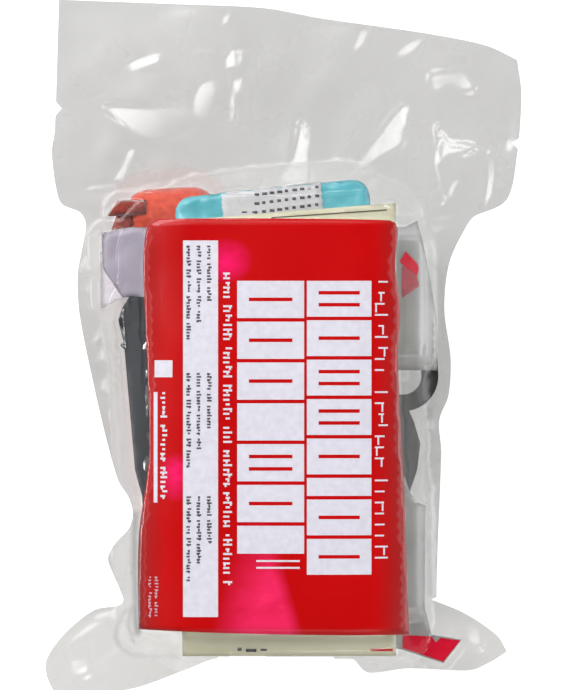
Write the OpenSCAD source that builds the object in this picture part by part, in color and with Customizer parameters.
// Individual bleeding control kit: first aid items vacuum sealed in a clear pouch.
// The kit lies on its back. X is across the pouch, +Y points to the tear-off end,
// and +Z points out of the printed label card. The origin is under the pouch's middle.

/* [Pouch] */
// Length of the sealed pouch, from end to end
pouch_l = 334; // [334:1:344]
// Width of the sealed pouch at its widest corners
pouch_w = 228; // [228:1:236]
// Thickness of the filled pouch
kit_h = 64; // [64:0.5:68]
// Height of the plane where the two pouch films are welded
seam_z = 26; // [25.5:0.1:26.5]
// Thickness of one pouch film
film_t = 0.5; // [0.4:0.1:0.6]
// Depth of the tear notches in the pouch edge
notch_d = 3; // [2:0.5:4]

/* [Label card] */
// Length of the printed label card
card_l = 199; // [190:1:199]
// Width of the printed label card
card_w = 124; // [116:1:124]
// Thickness of the label card
card_t = 0.5; // [0.3:0.1:0.6]
// Corner radius of the label card
card_r = 6; // [2:1:10]

/* [Tourniquet] */
// Width of the tourniquet's strap
strap_w = 38; // [34:1:38]
// Length of the folded tourniquet, with the roll at its end
fold_l = 160; // [156:1:162]
// Diameter of the strap's rolled end
roll_d = 27.2; // [25:0.2:27.2]
// Thickness of the doubled strap
strap_t = 2.9; // [2.4:0.1:2.9]
// Number of strap layers in the folded stack
strap_layers = 4; // [3:1:4]
// Length of the windlass rod
windlass_l = 112; // [104:1:112]
// Diameter of the windlass rod
windlass_d = 9.5; // [8.5:0.1:9.5]

/* [Dressing and gauze] */
// Height of one gauze brick
gauze_h = 18.5; // [15:0.5:18.5]
// Height of the dressing pouch
dressing_h = 17; // [15:0.5:17]
// Thickness of the inner pouches' films
wrap_t = 0.3; // [0.2:0.1:0.4]

/* [Shears and marker] */
// Diameter of the shears' pivot rivet
rivet_d = 4; // [3:0.2:5]
// Thickness of one shears blade
blade_t = 1.5; // [1:0.1:1.6]
// Overall diameter of the marker's cap
marker_d = 11.6; // [10:0.2:11.8]
// Length of the marker with its cap on
marker_l = 137; // [130:1:137]

/* [Hidden] */
$fn = 64;
eps = 0.01;

// Pouch outline, clockwise from the top left corner, at the nominal pouch size
OUTLINE_L = 334;
OUTLINE_W = 228;
OUTLINE = [[-108, 167], [-110, 104], [-111.5, 93], [-107.5, 70], [-98, 65], [-95, 59],
    [-97, 47], [-99, 35], [-98.5, 19], [-95, -1], [-86, -41], [-79.5, -64], [-74.5, -72],
    [-72.5, -80], [-74.5, -87], [-81, -94], [-84.5, -101], [-82.5, -107.5], [-77, -121],
    [-79.5, -124], [-91, -126], [-105, -137], [-114, -150], [-113, -160], [-107, -167],
    [-74, -164], [-48, -155], [-26, -147], [0, -147.5], [32, -149], [40, -156],
    [60, -154], [89, -155], [99, -151], [107, -146], [103, -139], [94, -132],
    [84.5, -126.5], [71, -121.5], [74, -101], [75.5, -50], [74.5, -35], [79, -23],
    [80, -5], [77, 19], [79.5, 41], [87.5, 58], [91.5, 63], [107, 71], [112, 93],
    [114, 121], [112, 138], [97, 145], [67, 151], [18, 158], [-10, 163], [-56, 165]];
function fitted(points) = [for (p = points) [p[0] * pouch_w / OUTLINE_W,
                                             p[1] * pouch_l / OUTLINE_L]];

// Footprints of the bulge over the contents: the wide upper part and the waist below it
UPPER_BULGE = [[-90, 60], [-87, 77], [-77, 86], [-45, 89], [46, 89], [64, 76], [77, 48],
    [78, 5], [76, -20], [-82, -20], [-89, 18]];
LOWER_BULGE = [[-80, 0], [-71, -78], [-71, -128], [-64, -148], [60, -148], [69, -126],
    [70.5, -110], [71.5, -60], [77, 0]];
UPPER_TOP = [[-61, -20], [-61, 58], [-50, 67], [48, 67], [58, 58], [58, -20]];
LOWER_TOP = [[-63, 0], [-63, -134], [-54, -143], [50, -143], [60, -134], [59, 0]];
// Pocket for the gauze pouch corner that reaches into the lower right lobe
TIP_POCKET = [[54, -126], [80, -131], [90, -141], [79, -153], [52, -151]];
tip_pocket_z = [20.5, 29];
tip_pocket_inset = 3;
// Height of each level of the bulges, and how far it draws in from the footprint
UPPER_LEVELS = [[40, 1.5], [54, 12]];
LOWER_LEVELS = [[52, 0.4]];
BACK_LEVELS = [[0, 4], [3, 0.6]];

// Ends of the tear line, at the two notches
TEAR_LEFT = [-109.5, 115];
TEAR_RIGHT = [113, 98];
notch_w = 2.5;
notch_reach = 8;

// Clear space between a wrapping and what is packed in it
pack_gap = 0.2;
// Corner radius of the inner pouches' trays
tray_r = 5;

// Heights of the layers of the pack, from the back film up
shears_z = 7;
marker_z = 7.2;
strap_z = 2;
gauze_z = 14.2;
sleeve_z = 29.6;
sleeve_h = 2;
blanket_z = 36.2;
blanket_h = 6.8;
glove_z = 36.2;
glove_h = 3.3;
dressing_z = 44.3;
card_z = kit_h - film_t - card_t - 0.4;
card_flat = 36;
card_bend = 0.009;

// Tourniquet
TOURNIQUET_POS = [-51, -2];
tourniquet_turn = 3;
strap_pitch = strap_t + 0.4;
stack_top = strap_z + strap_pitch * strap_layers;
plate_l = 89;
plate_t = 2.6;
rod_gap = 0.9;
clip_floor = 1.2;
rod_z = stack_top + plate_t + clip_floor + rod_gap + windlass_d / 2;
clip_y = -42;
windlass_y = -7;
roll_turns = 2.25;
roll_step = 15;
clip_l = 20;
clip_w = 30;
clip_h = 12.5;
clip_foot = 4;
ridge_pitch = 5;
ridge_share = 0.6;
ridge_depth = 0.4;
ROD_SLOT = [3, 30, 26];
inner_band_w = 24;
inner_band_t = 0.9;
band_foot_l = 32;
BUCKLE = [strap_w + 4, 20, 3.6];
BUCKLE_SLOT = [strap_w - 6, 4.4];
buckle_slot_y = 4.6;
buckle_y = 15;
time_strap_w = 16;
time_strap_l = 28;
time_strap_t = 0.9;
time_strap_foot = 4.2;

// Shears
SHEARS_POS = [42.5, -62];
shears_turn = 4;
loop_x = 18.5;
loop_y = 66;
loop_r = 17;
loop_half = 19;
loop_wall = 8;
handle_h = 8.6;
blade_gap = 0.1;
rivet_gap = 0.06;
rivet_head_r = 4.2;
rivet_head_t = 1.2;
BLADE = [[-8, 4], [-8.5, -10], [-6, -55], [-2, -77], [2, -78], [2.5, -12], [7, -5],
    [14, 34], [8, 36], [-2, 9]];
SHANK = [[11.5, -6], [16.5, -12], [22, 1], [24.5, 14], [22, 25], [18, 36], [8, 36],
    [3, 28], [3, 20], [11.5, 11]];

// Marker
MARKER_X = -21;
marker_end_y = -140;
cap_l = 43;
cap_end = 2;
cap_bore_r = 4.6;
neck_gap = 0.1;
barrel_r = marker_d / 2 - 0.2;
bevel = 1;
bevel_l = 1.5;
face_gap = 0.2;
nib_cone_l = 5;
nib_r = [1.6, 1.4, 0.7];
nib_l = 4;

CLEAR_FILM = [0.86, 0.87, 0.88, 0.25];
RED = [0.8, 0.02, 0.03];
ORANGE = [0.88, 0.3, 0.2];
TAN = [0.84, 0.84, 0.69];
TEAL = [0.37, 0.75, 0.78];
SLATE = [0.3, 0.34, 0.37];
DARK = [0.3, 0.3, 0.31];
PALE = [0.8, 0.8, 0.84];
STEEL = [0.7, 0.71, 0.73];
BANDAGE = [0.8, 0.76, 0.66];
GAUZE_FILM = [0.76, 0.77, 0.77];
WEBBING = [0.2, 0.2, 0.2];

// ---- Shared shapes ----

module rounded_slab(size, r) {
    linear_extrude(size[2])
        union() {
            square([size[0] - 2 * r, size[1]], center = true);
            square([size[0], size[1] - 2 * r], center = true);
            for (sx = [-1, 1], sy = [-1, 1])
                translate([sx * (size[0] / 2 - r), sy * (size[1] / 2 - r)]) circle(r);
        }
}

// One web of a flat heat-sealed pouch: a shallow tray with a sealing margin round it.
// centre, size: the tray's place and size; dir is 1 for the web above the seal, -1 below.
module pouch_web(margin, centre, size, seal_z, depth, dir) {
    base = dir > 0 ? seal_z : seal_z - wrap_t;
    translate([0, 0, base])
        linear_extrude(wrap_t)
            difference() {
                polygon(margin);
                translate(centre)
                    square([size[0] - 2 * wrap_t, size[1] - 2 * wrap_t], center = true);
            }
    translate([centre[0], centre[1], dir > 0 ? seal_z : seal_z - depth])
        difference() {
            rounded_slab([size[0], size[1], depth], tray_r);
            translate([0, 0, dir > 0 ? -eps : wrap_t])
                rounded_slab([size[0] - 2 * wrap_t, size[1] - 2 * wrap_t,
                              depth - wrap_t + eps], tray_r - wrap_t);
        }
}

// ---- Outer pouch ----

module level(points, z, inset) {
    translate([0, 0, z])
        linear_extrude(eps)
            offset(delta = -inset) polygon(points);
}

// Solid over the contents, above the weld plane; skin shrinks it to the film's inner face
module front_bulge(skin) {
    hull() {
        level(UPPER_BULGE, seam_z, skin);
        for (l = UPPER_LEVELS) level(UPPER_BULGE, l[0] - skin, l[1] + skin);
        level(UPPER_TOP, kit_h - skin - eps, skin);
    }
    hull() {
        level(LOWER_BULGE, seam_z, skin);
        for (l = LOWER_LEVELS) level(LOWER_BULGE, l[0] - skin, l[1] + skin);
        level(LOWER_TOP, kit_h - skin - eps, skin);
    }
    hull() {
        level(TIP_POCKET, seam_z, skin);
        level(TIP_POCKET, tip_pocket_z[1] - skin, tip_pocket_inset + skin);
    }
}

module back_bulge(skin) {
    for (points = [UPPER_BULGE, LOWER_BULGE])
        hull() {
            for (l = BACK_LEVELS) level(points, l[0] + skin, l[1] + skin);
            level(points, seam_z - eps, skin);
        }
    hull() {
        level(TIP_POCKET, tip_pocket_z[0] + skin, tip_pocket_inset + skin);
        level(TIP_POCKET, seam_z - eps, skin);
    }
}

module bulge_footprint() {
    polygon(UPPER_BULGE);
    polygon(LOWER_BULGE);
    polygon(TIP_POCKET);
}

module notch(p, side) {
    polygon([[p[0] + side * notch_reach, p[1] + notch_w], [p[0] - side * notch_d, p[1]],
             [p[0] + side * notch_reach, p[1] - notch_w]]);
}

module pouch_outline() {
    difference() {
        polygon(fitted(OUTLINE));
        notch(TEAR_LEFT, -1);
        notch(TEAR_RIGHT, 1);
    }
}

function tear_y(x) = TEAR_LEFT[1] + (x - TEAR_LEFT[0]) * (TEAR_RIGHT[1] - TEAR_LEFT[1])
                                    / (TEAR_RIGHT[0] - TEAR_LEFT[0]);

// Everything on the header side of the tear line
module header_side() {
    polygon([[-pouch_w, tear_y(-pouch_w)], [pouch_w, tear_y(pouch_w)],
             [pouch_w, pouch_l], [-pouch_w, pouch_l]]);
}

module web_margin(z) {
    translate([0, 0, z])
        linear_extrude(film_t)
            difference() {
                pouch_outline();
                bulge_footprint();
                header_side();
            }
}

module pouch_front_web() {
    color(CLEAR_FILM) {
        web_margin(seam_z);
        difference() {
            front_bulge(0);
            translate([0, 0, -eps]) front_bulge(film_t);
        }
    }
}

module pouch_back_web() {
    color(CLEAR_FILM) {
        web_margin(seam_z - film_t);
        difference() {
            back_bulge(0);
            translate([0, 0, eps]) back_bulge(film_t);
        }
    }
}

module header_web(z) {
    translate([0, 0, z])
        linear_extrude(film_t)
            intersection() {
                pouch_outline();
                header_side();
            }
}

module tear_strip_front() color(CLEAR_FILM) header_web(seam_z);

module tear_strip_back() color(CLEAR_FILM) header_web(seam_z - film_t);

// ---- Label card ----

CARD_CENTRE = [-6, -38.5];
card_steps = 24;

function card_height(x) = card_z - card_bend * pow(max(0, abs(x) - card_flat), 2);

module label_card() {
    left = CARD_CENTRE[0] - card_w / 2;
    xs = [for (i = [0 : card_steps]) left + card_w * i / card_steps];
    color(RED)
        intersection() {
            translate([0, CARD_CENTRE[1] + card_l / 2, 0])
                rotate([90, 0, 0])
                    linear_extrude(card_l)
                        polygon(concat([for (x = xs) [x, card_height(x)]],
                                       [for (i = [card_steps : -1 : 0])
                                            [xs[i], card_height(xs[i]) + card_t]]));
            translate([CARD_CENTRE[0], CARD_CENTRE[1], 0])
                rounded_slab([card_w, card_l, kit_h], card_r);
        }
}

// ---- Instruction card in its sleeve ----

SLEEVE_CENTRE = [-59, 37];
SLEEVE_SIZE = [54, 38];

module instruction_sleeve() {
    color(PALE)
        translate([SLEEVE_CENTRE[0], SLEEVE_CENTRE[1], sleeve_z])
            difference() {
                rounded_slab([SLEEVE_SIZE[0], SLEEVE_SIZE[1], sleeve_h], 2);
                translate([0, 0, wrap_t])
                    rounded_slab([SLEEVE_SIZE[0] - 2, SLEEVE_SIZE[1] - 2,
                                  sleeve_h - 2 * wrap_t], 1);
            }
}

module instruction_card() {
    color("white")
        translate([SLEEVE_CENTRE[0], SLEEVE_CENTRE[1], sleeve_z + wrap_t + pack_gap / 2])
            rounded_slab([SLEEVE_SIZE[0] - 3, SLEEVE_SIZE[1] - 3,
                          sleeve_h - 2 * wrap_t - pack_gap], 1);
}

// ---- Trauma dressing ----

DRESSING_CENTRE = [1, -38];
DRESSING_SIZE = [92, 184];
DRESSING_MARGIN = [[-51, 60], [53, 68.5], [53, -146], [-48, -146]];
dressing_seal_z = dressing_z + dressing_h / 2;
pad_t = 4;
pad_r = 4;
wrap_stack_t = 7.5;
wrap_layers = 3;
BAR_SIZE = [70, 24, 3.2];
BAR_SLOT = [56, 4];
bar_slot_y = 5.5;

module dressing_pouch_front() {
    color(TAN) pouch_web(DRESSING_MARGIN, DRESSING_CENTRE, DRESSING_SIZE, dressing_seal_z,
                         dressing_h / 2, 1);
}

module dressing_pouch_back() {
    color(TAN) pouch_web(DRESSING_MARGIN, DRESSING_CENTRE, DRESSING_SIZE, dressing_seal_z,
                         dressing_h / 2, -1);
}

module dressing_pad() {
    color("white")
        translate([DRESSING_CENTRE[0], DRESSING_CENTRE[1], dressing_z + wrap_t + pack_gap])
            rounded_slab([DRESSING_SIZE[0] - 3, DRESSING_SIZE[1] - 4, pad_t], pad_r);
}

// Elastic bandage folded in layers on the pad, each a little further along than the last
module elastic_wrap() {
    layer = wrap_stack_t / wrap_layers;
    color(BANDAGE)
        for (i = [0 : wrap_layers - 1])
            translate([DRESSING_CENTRE[0], DRESSING_CENTRE[1] + (i - 1) * 3,
                       dressing_z + pad_t + wrap_t + 2 * pack_gap + i * layer])
                rounded_slab([DRESSING_SIZE[0] - 8, DRESSING_SIZE[1] - 16, layer], pad_r);
}

module closure_bar() {
    z = dressing_z + pad_t + wrap_stack_t + wrap_t + 3 * pack_gap;
    color("white")
        translate([DRESSING_CENTRE[0], DRESSING_CENTRE[1], z])
            difference() {
                rounded_slab(BAR_SIZE, pad_r);
                for (sy = [-1, 1])
                    translate([0, sy * bar_slot_y, -1])
                        rounded_slab([BAR_SLOT[0], BAR_SLOT[1], BAR_SIZE[2] + 2],
                                     BAR_SLOT[1] / 2 - 0.1);
            }
}

// ---- Compressed gauze ----

GAUZE_SIZE = [86, 58];
UPPER_GAUZE_CENTRE = [23, 24];
UPPER_GAUZE_MARGIN = [[-24, 58], [58, 58], [64, 61], [69, 40], [73.5, 14], [73.5, -11],
    [-24, -11]];
LOWER_GAUZE_CENTRE = [22, -98];
LOWER_GAUZE_MARGIN = [[-24, -62], [68, -62], [67.5, -124], [84, -140], [76, -149],
    [57, -144], [-22, -134]];
gauze_pouch_h = gauze_h + 2 * wrap_t + 2 * pack_gap;
gauze_seal_z = gauze_z + gauze_pouch_h / 2;

module gauze_web(margin, centre, dir) {
    color(GAUZE_FILM)
        pouch_web(margin, centre, GAUZE_SIZE, gauze_seal_z, gauze_pouch_h / 2, dir);
}

module gauze_brick(centre) {
    color("white")
        translate([centre[0], centre[1], gauze_z + wrap_t + pack_gap])
            rounded_slab([GAUZE_SIZE[0] - 2, GAUZE_SIZE[1] - 2, gauze_h], pad_r);
}

module upper_gauze_pouch_front() gauze_web(UPPER_GAUZE_MARGIN, UPPER_GAUZE_CENTRE, 1);
module upper_gauze_pouch_back() gauze_web(UPPER_GAUZE_MARGIN, UPPER_GAUZE_CENTRE, -1);
module upper_gauze() gauze_brick(UPPER_GAUZE_CENTRE);
module lower_gauze_pouch_front() gauze_web(LOWER_GAUZE_MARGIN, LOWER_GAUZE_CENTRE, 1);
module lower_gauze_pouch_back() gauze_web(LOWER_GAUZE_MARGIN, LOWER_GAUZE_CENTRE, -1);
module lower_gauze() gauze_brick(LOWER_GAUZE_CENTRE);

// ---- Survival blanket ----

BLANKET_CENTRE = [-43, -28];
BLANKET_SIZE = [52, 72];
BLANKET_MARGIN = [[-79, 15], [-12, 15], [-12, -73], [-67, -73], [-71, -58]];
BLANKET_NOTCH = [-77.5, 1];
blanket_notch_r = 2;
blanket_seal_z = blanket_z + blanket_h / 2;

module blanket_web(dir) {
    color(SLATE)
        difference() {
            pouch_web(BLANKET_MARGIN, BLANKET_CENTRE, BLANKET_SIZE, blanket_seal_z,
                      blanket_h / 2, dir);
            translate([BLANKET_NOTCH[0], BLANKET_NOTCH[1], blanket_z])
                cylinder(r = blanket_notch_r, h = blanket_h);
        }
}

module blanket_pouch_front() blanket_web(1);
module blanket_pouch_back() blanket_web(-1);

module folded_blanket() {
    color("silver")
        translate([BLANKET_CENTRE[0], BLANKET_CENTRE[1], blanket_z + wrap_t + pack_gap])
            rounded_slab([BLANKET_SIZE[0] - 3, BLANKET_SIZE[1] - 3,
                          blanket_h - 2 * wrap_t - 2 * pack_gap], 3);
}

// ---- Gloves ----

GLOVE_POS = [-4.5, 58.5];
GLOVE_SIZE = [94, 36];
glove_turn = 6;
glove_r = 6;
glove_gap = 0.1;
band_w = 50;
band_t = 0.25;
band_ease = 0.4;

module place_gloves() {
    translate([GLOVE_POS[0], GLOVE_POS[1], glove_z]) rotate([0, 0, glove_turn]) children();
}

// place: 0 for the lower pair and 1 for the upper pair
module glove_pair(place) {
    color(TEAL)
        place_gloves()
            translate([0, 0, band_t + glove_gap / 2 + place * (glove_h + glove_gap)])
                rounded_slab([GLOVE_SIZE[0], GLOVE_SIZE[1], glove_h], glove_r);
}

module lower_glove_pair() glove_pair(0);
module upper_glove_pair() glove_pair(1);

// Paper band wrapped round both pairs
module glove_band() {
    inside_h = 2 * (glove_h + glove_gap);
    inside_w = GLOVE_SIZE[1] + band_ease;
    color("white")
        place_gloves()
            translate([0, 0, inside_h / 2 + band_t])
                rotate([90, 0, 90])
                    linear_extrude(band_w, center = true)
                        difference() {
                            square([inside_w + 2 * band_t, inside_h + 2 * band_t], center = true);
                            square([inside_w, inside_h], center = true);
                        }
}

// ---- Trauma shears ----

module place_shears() {
    translate([SHEARS_POS[0], SHEARS_POS[1], shears_z]) rotate([0, 0, shears_turn]) children();
}

module blade_shape() {
    difference() {
        polygon(BLADE);
        circle(rivet_d / 2 + rivet_gap);
    }
}

module handle_shape() {
    difference() {
        union() {
            polygon(SHANK);
            translate([loop_x, loop_y])
                union() {
                    for (s = [-1, 1]) translate([0, s * loop_half]) circle(loop_r);
                    square([2 * loop_r, 2 * loop_half], center = true);
                }
        }
        translate([loop_x, loop_y])
            union() {
                for (s = [-1, 1]) translate([0, s * loop_half]) circle(loop_r - loop_wall);
                square([2 * (loop_r - loop_wall), 2 * loop_half], center = true);
            }
    }
}

module fixed_blade_solid() {
    translate([0, 0, -blade_t - blade_gap / 2]) linear_extrude(blade_t) blade_shape();
}

module moving_blade_solid() {
    translate([0, 0, blade_gap / 2]) linear_extrude(blade_t) mirror([1, 0]) blade_shape();
}

module shears_fixed_blade() color(STEEL) place_shears() fixed_blade_solid();
module shears_moving_blade() color(STEEL) place_shears() moving_blade_solid();

module shears_fixed_handle() {
    color(DARK)
        place_shears()
            difference() {
                linear_extrude(handle_h, center = true) handle_shape();
                fixed_blade_solid();
            }
}

module shears_moving_handle() {
    color(DARK)
        place_shears()
            difference() {
                linear_extrude(handle_h, center = true) mirror([1, 0]) handle_shape();
                moving_blade_solid();
            }
}

// Rivet with a head on each side of the blades
module shears_rivet() {
    head = blade_t + blade_gap;
    color(STEEL)
        place_shears()
            union() {
                cylinder(d = rivet_d, h = 2 * (head + rivet_head_t / 2), center = true);
                for (s = [0, 1])
                    mirror([0, 0, s])
                        translate([0, 0, head]) cylinder(r = rivet_head_r, h = rivet_head_t);
            }
}

// ---- Marker ----

module along_marker(y) {
    translate([MARKER_X, y, marker_z]) rotate([-90, 0, 0]) children();
}

cap_y = marker_end_y + marker_l - cap_l;
neck_r = cap_bore_r - neck_gap;
neck_l = 28;

module marker_barrel() {
    color(DARK)
        along_marker(marker_end_y)
            union() {
                cylinder(r1 = barrel_r - bevel, r2 = barrel_r, h = bevel_l);
                translate([0, 0, bevel_l])
                    cylinder(r = barrel_r, h = marker_l - cap_l - bevel_l - face_gap);
                cylinder(r = neck_r, h = marker_l - cap_l + neck_l);
                translate([0, 0, marker_l - cap_l + neck_l])
                    cylinder(r1 = neck_r, r2 = nib_r[0], h = nib_cone_l);
            }
}

module marker_nib() {
    color("black")
        along_marker(cap_y + neck_l + nib_cone_l)
            cylinder(r1 = nib_r[1], r2 = nib_r[2], h = nib_l);
}

module marker_cap() {
    color(DARK)
        along_marker(cap_y)
            difference() {
                cylinder(d = marker_d, h = cap_l);
                translate([0, 0, -1]) cylinder(r = cap_bore_r, h = cap_l - cap_end + 1);
            }
}

// ---- Tourniquet ----

module place_tourniquet() {
    translate([TOURNIQUET_POS[0], TOURNIQUET_POS[1], 0])
        rotate([0, 0, tourniquet_turn]) children();
}

// Fold between two neighbouring layers, seen along the strap's width
module strap_fold() {
    r = strap_pitch / 2 + strap_t / 2;
    intersection() {
        difference() {
            circle(r);
            circle(r - strap_t);
        }
        translate([0, -r]) square([r, 2 * r]);
    }
}

// Edge of the rolled end: a spiral whose radius shrinks by one pitch a turn
function spiral(start_r) =
    [for (a = [0 : roll_step : 360 * roll_turns])
        let (r = start_r - strap_pitch * a / 360) [r * sin(a), -r * cos(a)]];

function reversed(points) = [for (i = [len(points) - 1 : -1 : 0]) points[i]];

// Serpentine stack with a rolled end, seen along the strap's width
module strap_profile() {
    bottom = -fold_l / 2 + strap_pitch;
    roll_y = fold_l / 2 - roll_d / 2;
    top = roll_y - roll_d / 2 - strap_pitch;
    translate([bottom, 0]) square([roll_y - bottom, strap_t]);
    for (i = [1 : strap_layers - 1])
        translate([bottom, i * strap_pitch]) square([top - bottom, strap_t]);
    for (i = [0 : strap_layers - 2])
        translate([i % 2 == 0 ? bottom : top, (i + 0.5) * strap_pitch + strap_t / 2])
            mirror([i % 2 == 0 ? 1 : 0, 0]) strap_fold();
    translate([roll_y, roll_d / 2])
        polygon(concat(spiral(roll_d / 2), reversed(spiral(roll_d / 2 - strap_t))));
}

// Loose end of the strap, turned out beside the roll
TAIL = [[-15, 76], [-35, 66], [-31, 58], [-15, 60]];
tail_z = 21.5;

module tourniquet_strap() {
    color(ORANGE)
        place_tourniquet()
            union() {
                translate([-strap_w / 2, 0, strap_z])
                    rotate([90, 0, 90])
                        linear_extrude(strap_w) strap_profile();
                translate([0, 0, tail_z]) linear_extrude(strap_t) polygon(TAIL);
            }
}

module tourniquet_plate() {
    color(DARK)
        place_tourniquet()
            translate([0, windlass_y, stack_top])
                rounded_slab([strap_w - 2, plate_l, plate_t], 5);
}

module windlass_clip() {
    color(DARK)
        place_tourniquet()
            translate([0, clip_y, stack_top + plate_t])
                rotate([90, 0, 0])
                    linear_extrude(clip_l, center = true)
                        difference() {
                            union() {
                                translate([-clip_w / 2, 0]) square([clip_w, clip_foot]);
                                translate([-clip_w / 2 + clip_foot, 0])
                                    square([clip_w - 2 * clip_foot, clip_h]);
                            }
                            translate([0, rod_z - stack_top - plate_t])
                                circle(windlass_d / 2 + rod_gap);
                            translate([-windlass_d / 2 - rod_gap,
                                       rod_z - stack_top - plate_t])
                                square([windlass_d + 2 * rod_gap, clip_h]);
                        }
}

module windlass_rod() {
    ridges = floor(windlass_l / ridge_pitch) - 2;
    color("black")
        place_tourniquet()
            translate([0, windlass_y + windlass_l / 2, rod_z])
                rotate([90, 0, 0])
                    difference() {
                        union() {
                            cylinder(d = windlass_d - 2 * ridge_depth, h = windlass_l);
                            for (i = [0 : ridges])
                                translate([0, 0, (i + ridge_share) * ridge_pitch])
                                    cylinder(d = windlass_d, h = ridge_pitch * ridge_share);
                        }
                        translate([0, 0, windlass_l / 2]) cube(ROD_SLOT, center = true);
                    }
}

// Band that pulls the tourniquet tight: a loop round the rod with its ends on the plate
module inner_band() {
    inner_r = windlass_d / 2 + rod_gap;
    outer_r = inner_r + inner_band_t;
    drop = rod_z - stack_top - plate_t;
    color(WEBBING)
        place_tourniquet()
            translate([0, windlass_y, rod_z])
                rotate([90, 0, 0])
                    linear_extrude(inner_band_w, center = true)
                        difference() {
                            union() {
                                circle(outer_r);
                                translate([-band_foot_l / 2, -drop])
                                    square([band_foot_l, inner_band_t]);
                            }
                            circle(inner_r);
                            translate([-band_foot_l, -drop - outer_r])
                                square([2 * band_foot_l, outer_r]);
                        }
}

module slip_buckle() {
    color(DARK)
        place_tourniquet()
            translate([0, -fold_l / 2 + buckle_y, stack_top + pack_gap])
                difference() {
                    rounded_slab(BUCKLE, 3);
                    for (s = [-1, 1])
                        translate([0, s * buckle_slot_y, -1])
                            rounded_slab([BUCKLE_SLOT[0], BUCKLE_SLOT[1], BUCKLE[2] + 2], 1.5);
                }
}

// Writable strap closed over the clip
module time_strap() {
    base = stack_top + plate_t + clip_h + pack_gap;
    leg = clip_h - time_strap_foot;
    color("white")
        place_tourniquet()
            translate([0, clip_y, base])
                rotate([90, 0, 0])
                    linear_extrude(time_strap_w, center = true)
                        union() {
                            translate([-time_strap_l / 2, 0]) square([time_strap_l, time_strap_t]);
                            for (s = [-1, 1])
                                translate([s * (time_strap_l - time_strap_t) / 2
                                           - time_strap_t / 2, -leg])
                                    square([time_strap_t, leg + time_strap_t]);
                        }
}

pouch_front_web();
pouch_back_web();
tear_strip_front();
tear_strip_back();
label_card();
instruction_sleeve();
instruction_card();
dressing_pouch_front();
dressing_pouch_back();
dressing_pad();
elastic_wrap();
closure_bar();
upper_gauze_pouch_front();
upper_gauze_pouch_back();
upper_gauze();
lower_gauze_pouch_front();
lower_gauze_pouch_back();
lower_gauze();
blanket_pouch_front();
blanket_pouch_back();
folded_blanket();
lower_glove_pair();
upper_glove_pair();
glove_band();
shears_fixed_blade();
shears_moving_blade();
shears_fixed_handle();
shears_moving_handle();
shears_rivet();
marker_barrel();
marker_nib();
marker_cap();
tourniquet_strap();
tourniquet_plate();
windlass_clip();
windlass_rod();
inner_band();
slip_buckle();
time_strap();
